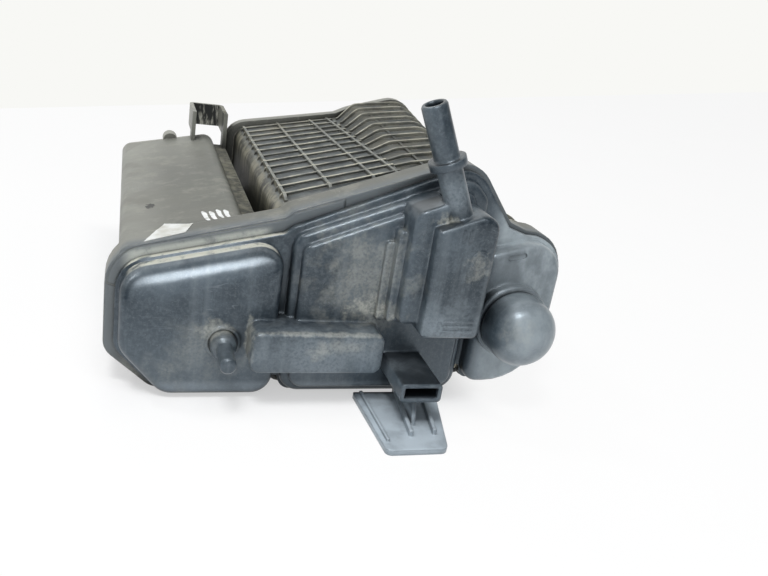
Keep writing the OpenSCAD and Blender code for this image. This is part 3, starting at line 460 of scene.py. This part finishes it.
def smooth_group(limit):
    """Smooth faces that keep edges sharper than the limit, with the imported normals dropped."""
    tree = bpy.data.node_groups.new("smooth_by_angle", "GeometryNodeTree")
    for direction in ("INPUT", "OUTPUT"):
        tree.interface.new_socket("Geometry", in_out=direction, socket_type="NodeSocketGeometry")
    start = tree.nodes.new("NodeGroupInput")
    end = tree.nodes.new("NodeGroupOutput")
    drop = tree.nodes.new("GeometryNodeRemoveAttribute")
    drop.inputs["Name"].default_value = "custom_normal"
    angle = tree.nodes.new("GeometryNodeInputMeshEdgeAngle")
    soft = tree.nodes.new("FunctionNodeCompare")
    soft.operation = "LESS_EQUAL"
    soft.inputs[1].default_value = limit
    edge = tree.nodes.new("GeometryNodeSetShadeSmooth")
    edge.domain = "EDGE"
    face = tree.nodes.new("GeometryNodeSetShadeSmooth")
    face.domain = "FACE"
    tree.links.new(start.outputs[0], drop.inputs["Geometry"])
    tree.links.new(angle.outputs["Unsigned Angle"], soft.inputs[0])
    tree.links.new(drop.outputs[0], edge.inputs["Geometry"])
    tree.links.new(soft.outputs[0], edge.inputs["Shade Smooth"])
    tree.links.new(edge.outputs[0], face.inputs["Geometry"])
    tree.links.new(face.outputs[0], end.inputs[0])
    return tree


smooth = smooth_group(SHARP_EDGE)
for row in frame["record"]["subparts"]:
    solid = frame["nodes"][row["node"]]
    is_cap = row["node"] == "vent_cap"
    solid.data.materials.clear()
    solid.data.materials.append(cap_plastic if is_cap else materials[row["material_slot"]])
    weld = solid.modifiers.new("weld", "WELD")
    weld.merge_threshold = WELD_REACH
    shade = solid.modifiers.new("smooth", "NODES")
    shade.node_group = smooth


def closed_sheet(name, layers, material):
    """A thin piece of the housing between two grids of points, closed round its rim."""
    mesh = bmesh.new()
    rims = []
    for layer in layers:
        grid = [[mesh.verts.new(point) for point in row] for row in layer]
        for low_row, high_row in zip(grid, grid[1:]):
            for i in range(len(low_row) - 1):
                mesh.faces.new((low_row[i], low_row[i + 1], high_row[i + 1], high_row[i]))
        last_column = [row[-1] for row in grid[1:-1]]
        first_column = [row[0] for row in grid[-2:0:-1]]
        rims.append(grid[0] + last_column + grid[-1][::-1] + first_column)
    low, high = rims
    for i in range(len(low)):
        j = (i + 1) % len(low)
        mesh.faces.new((low[i], low[j], high[j], high[i]))
    bmesh.ops.recalc_face_normals(mesh, faces=mesh.faces)
    data = bpy.data.meshes.new(name)
    mesh.to_mesh(data)
    mesh.free()
    data.materials.append(material)
    piece = bpy.data.objects.new(name, data)
    scene.collection.objects.link(piece)
    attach(piece, "root")


# Marks on the left chamber's roof: a bare sticker and dabs of paint

ROOF_START, ROOF_SLOPE = (-0.116, 0.076), radians(12.4)
COLLAR_START, COLLAR_SLOPE = (-0.122, 0.074), radians(14.6)
COLLAR_EDGE = -0.068
COLLAR_RAMP = 0.0012
MARK_LIFT = 0.00003
STICKER_THICK, DAB_THICK = 0.00025, 0.0002
STICKER_WAVE = 0.00012
DAB_END = 0.02          # share of a dab that is left off at each end, to keep its ends blunt
DAB_ROUNDING = 3.2
DAB_TAPER = 0.35
DAB_RIPPLE = 0.05
DAB_SWAY = 0.0003
DAB_COLUMNS = (-1, -0.5, 0, 0.5, 1)
MARK_STEPS = 16
STICKER_CORNERS = [(-0.1045, -0.0820), (-0.0852, -0.0797), (-0.0803, -0.0668), (-0.0943, -0.0602)]
DABS = [  # start, end, width
    ((-0.0752, -0.0484), (-0.0722, -0.0668), 0.0027),
    ((-0.0714, -0.0500), (-0.0688, -0.0662), 0.0028),
    ((-0.0678, -0.0486), (-0.0655, -0.0640), 0.0026),
    ((-0.0641, -0.0508), (-0.0622, -0.0656), 0.0027),
]


def surface(x, y):
    """Height of the roof, or of the collar where it covers the roof, with a short ramp between."""
    roof = ROOF_START[1] + (x - ROOF_START[0]) * tan(ROOF_SLOPE)
    collar = COLLAR_START[1] + (x - COLLAR_START[0]) * tan(COLLAR_SLOPE)
    ramp = min(1, max(0, (COLLAR_EDGE + COLLAR_RAMP - y) / COLLAR_RAMP))
    return roof + max(0, collar - roof) * ramp


def on_roof(rows, thick):
    """Two grids over rows of points: just clear of the roof, and the thickness above it."""
    return [[[(x, y, surface(x, y) + lift) for x, y in row] for row in rows]
            for lift in (MARK_LIFT, thick)]


def part_way(first, second, share):
    return first[0] + (second[0] - first[0]) * share, first[1] + (second[1] - first[1]) * share


def sticker_rows():
    """A grid of points between four corners, with a slight wave along its sides."""
    near_left, near_right, far_right, far_left = STICKER_CORNERS
    rows = []
    for i in range(MARK_STEPS + 1):
        start = part_way(near_left, far_left, i / MARK_STEPS)
        end = part_way(near_right, far_right, i / MARK_STEPS)
        row = []
        for j in range(MARK_STEPS + 1):
            x, y = part_way(start, end, j / MARK_STEPS)
            row.append((x + STICKER_WAVE * sin(1.9 * i), y + STICKER_WAVE * cos(2.3 * j)))
        rows.append(row)
    return rows


def dab_rows(start, end, width):
    """Rows across a brush dab: round at both ends, narrower towards its end, slightly wavy."""
    along = (Vector(end) - Vector(start)).normalized()
    side = Vector((-along.y, along.x))
    rows = []
    for i in range(MARK_STEPS + 1):
        share = DAB_END + (1 - 2 * DAB_END) * i / MARK_STEPS
        bulge = min(1, DAB_ROUNDING * min(share, 1 - share)) ** 0.5
        half = 0.5 * width * bulge * (1 - DAB_TAPER * share + DAB_RIPPLE * sin(9 * share))
        centre = Vector(part_way(start, end, share)) + side * DAB_SWAY * sin(7 * share)
        rows.append([tuple(centre + side * half * across) for across in DAB_COLUMNS])
    return rows


closed_sheet("bare_sticker", on_roof(sticker_rows(), STICKER_THICK), paper())
dab_paint = paint()
for number, dab in enumerate(DABS, 1):
    closed_sheet("paint_dab_%d" % number, on_roof(dab_rows(*dab), DAB_THICK), dab_paint)


# The housing's bare flange face round the cover's left part, which closes the chambers above the
# cover's edge. Each outline is a corner, as its centre and radius, and then points along the top.

LAND_FRONT, LAND_BACK = -0.0843, -0.08395
LAND_INSET = 0.001
ARC_STEPS = 12
FLANGE_CORNER, FLANGE_ARC_END = (-0.100, 0.057, 0.022), 104.6
FLANGE_TOP = [(-0.0375, 0.0960), (-0.0335, 0.0995), (-0.0080, 0.1089)]
COVER_CORNER, COVER_ARC_END = (-0.100, 0.0557, 0.017), 103.8
COVER_TOP = [(-0.0375, 0.0885), (-0.0335, 0.0920), (-0.0080, 0.1030)]


def land_outline(corner, end_angle, top):
    """Points from the upright left side round the corner and along the sloping top."""
    centre_x, centre_z, radius = corner
    radius -= LAND_INSET
    points = []
    for i in range(ARC_STEPS + 1):
        angle = radians(180 + (end_angle - 180) * i / ARC_STEPS)
        points.append((centre_x + radius * cos(angle), centre_z + radius * sin(angle)))
    return points + [(x, z - LAND_INSET) for x, z in top]


land_rows = [land_outline(COVER_CORNER, COVER_ARC_END, COVER_TOP),
             land_outline(FLANGE_CORNER, FLANGE_ARC_END, FLANGE_TOP)]
land_layers = [[[(x, y, z) for x, z in row] for row in land_rows] for y in (LAND_FRONT, LAND_BACK)]
closed_sheet("flange_land", land_layers, materials["housing_plastic"])


# Floor

FLOOR_FAR_LEFT = Vector((-0.255, 0.590, 0))     # two points of the floor's far edge
FLOOR_FAR_RIGHT = Vector((0.361, 1.024, 0))
FLOOR_LEFT_REACH, FLOOR_RIGHT_REACH, FLOOR_NEAR_REACH = 4, 5, 5
FLOOR_GLOW_NEAR, FLOOR_GLOW_FAR = 0.5, 0.9
FLOOR_GLOW_EDGE = (-0.005, 0.035)               # distance from the footprint over which it rises
FOOT_MIDDLE, FOOT_HALF = -0.03, 0.09            # the part's footprint along X and Y
FOOT_FRONT, FOOT_REAR = -0.096, 0.150


def ray_share(tree, *kinds):
    """1 for rays of the named kinds and 0 for others."""
    path = tree.nodes.new("ShaderNodeLightPath")
    total = path.outputs[kinds[0]]
    for kind in kinds[1:]:
        joined = tree.nodes.new("ShaderNodeMath")
        joined.operation = "MAXIMUM"
        tree.links.new(total, joined.inputs[0])
        tree.links.new(path.outputs[kind], joined.inputs[1])
        total = joined.outputs[0]
    return total


def floor_material():
    """Matt pale floor that takes the shadow, brightened for direct view away from the part."""
    g = Graph("floor")
    cloud = g.fade(g.noise(6, 3.0), 0.4, 0.6)
    tint = g.blend(cloud, colour(251, 251, 252), colour(247, 248, 249))
    g.put(g.shader.inputs["Base Color"], tint)
    g.shader.inputs["Roughness"].default_value = 0.9
    g.shader.inputs["Specular IOR Level"].default_value = 0.1
    light = g.node("ShaderNodeEmission", {"Color": (1, 1, 1, 1), "Strength": 1.0}).outputs[0]
    beside = g.minus(g.off(g.x, FOOT_MIDDLE), FOOT_HALF)
    away = g.most(beside, g.minus(FOOT_FRONT, g.y), g.minus(g.y, FOOT_REAR))
    seen = ray_share(g.tree, "Is Camera Ray", "Is Glossy Ray", "Is Transmission Ray")
    share = g.times(seen, g.fade(away, *FLOOR_GLOW_EDGE, FLOOR_GLOW_NEAR, FLOOR_GLOW_FAR))
    both = g.node("ShaderNodeMixShader", {0: share, 1: g.shader.outputs[0], 2: light}).outputs[0]
    g.tree.links.new(both, g.tree.nodes["Material Output"].inputs["Surface"])
    return g.material


far_run = (FLOOR_FAR_RIGHT - FLOOR_FAR_LEFT).normalized()
floor_left = FLOOR_FAR_LEFT - far_run * FLOOR_LEFT_REACH
floor_right = FLOOR_FAR_LEFT + far_run * FLOOR_RIGHT_REACH
near = Vector((far_run.y, -far_run.x, 0)) * FLOOR_NEAR_REACH
corners = [floor_left, floor_left + near, floor_right + near, floor_right]
floor_data = bpy.data.meshes.new("floor")
floor_data.from_pydata([tuple(corner) for corner in corners], [], [(0, 1, 2, 3)])
floor_data.materials.append(floor_material())
floor = bpy.data.objects.new("floor", floor_data)
scene.collection.objects.link(floor)


# World: diffuse light comes evenly from all round. Reflections show the pale backdrop and a dimmer
# room in front of it. Each is a colour and a strength.

AMBIENT = ((0.97, 0.985, 1.0, 1), 0.24)
BACKDROP = (colour(248, 248, 245), 1.0)
ROOM = ((0.80, 0.90, 1.0, 1), 0.16)
BACKDROP_SIDE = (-0.3, 0.95, 0.0)
BACKDROP_EDGE = (-0.4, 0.5)

world = bpy.data.worlds.new("world")
scene.world = world
world.use_nodes = True
sky_tree = world.node_tree
sky_nodes = sky_tree.nodes
sky_nodes.remove(sky_nodes["Background"])


def sky(tint, strength):
    made = sky_nodes.new("ShaderNodeBackground")
    made.inputs["Color"].default_value = tint
    made.inputs["Strength"].default_value = strength
    return made.outputs[0]


def mixed(share, first, second):
    made = sky_nodes.new("ShaderNodeMixShader")
    for socket, value in zip(made.inputs, (share, first, second)):
        sky_tree.links.new(value, socket)
    return made.outputs[0]


toward = sky_nodes.new("ShaderNodeVectorMath")
toward.operation = "DOT_PRODUCT"
toward.inputs[1].default_value = BACKDROP_SIDE
directions = sky_nodes.new("ShaderNodeTexCoord")
sky_tree.links.new(directions.outputs["Generated"], toward.inputs[0])
behind = sky_nodes.new("ShaderNodeMapRange")
behind.interpolation_type = "SMOOTHSTEP"
behind.inputs["From Min"].default_value = BACKDROP_EDGE[0]
behind.inputs["From Max"].default_value = BACKDROP_EDGE[1]
sky_tree.links.new(toward.outputs["Value"], behind.inputs["Value"])
backdrop = sky(*BACKDROP)
reflected = mixed(behind.outputs[0], sky(*ROOM), backdrop)
lit = mixed(ray_share(sky_tree, "Is Glossy Ray"), sky(*AMBIENT), reflected)
seen_sky = mixed(ray_share(sky_tree, "Is Camera Ray", "Is Transmission Ray"), lit, backdrop)
sky_tree.links.new(seen_sky, sky_nodes["World Output"].inputs["Surface"])


# Lamps: name, place, aim, width, depth, power in watts

LAMPS = [
    ("overhead", (-0.16, -0.56, 1.12), (-0.03, -0.09, 0.08), 1.1, 0.4, 4.4),
    ("lamp", (-0.31, -0.60, 1.08), (-0.06, -0.09, 0.07), 0.26, 0.26, 5.4),
    ("key", (-0.92, 0.3, 1.3), (0, -0.03, 0.06), 0.22, 0.22, 3),
    ("front_fill", (-0.25, -1.4, 0.75), (0, 0, 0.07), 1.5, 1.5, 6),
    ("rear_fill", (-0.2, 0.9, 1.3), (0, 0.02, 0.08), 0.9, 0.9, 2.5),
]

for name, place, aim, width, depth, power in LAMPS:
    lamp_data = bpy.data.lights.new(name, "AREA")
    lamp_data.shape = "ELLIPSE"
    lamp_data.size = width
    lamp_data.size_y = depth
    lamp_data.energy = power
    lamp = bpy.data.objects.new(name, lamp_data)
    facing = (Vector(aim) - Vector(place)).to_track_quat("-Z", "Y").to_matrix().to_4x4()
    lamp.matrix_world = Matrix.Translation(place) @ facing
    scene.collection.objects.link(lamp)
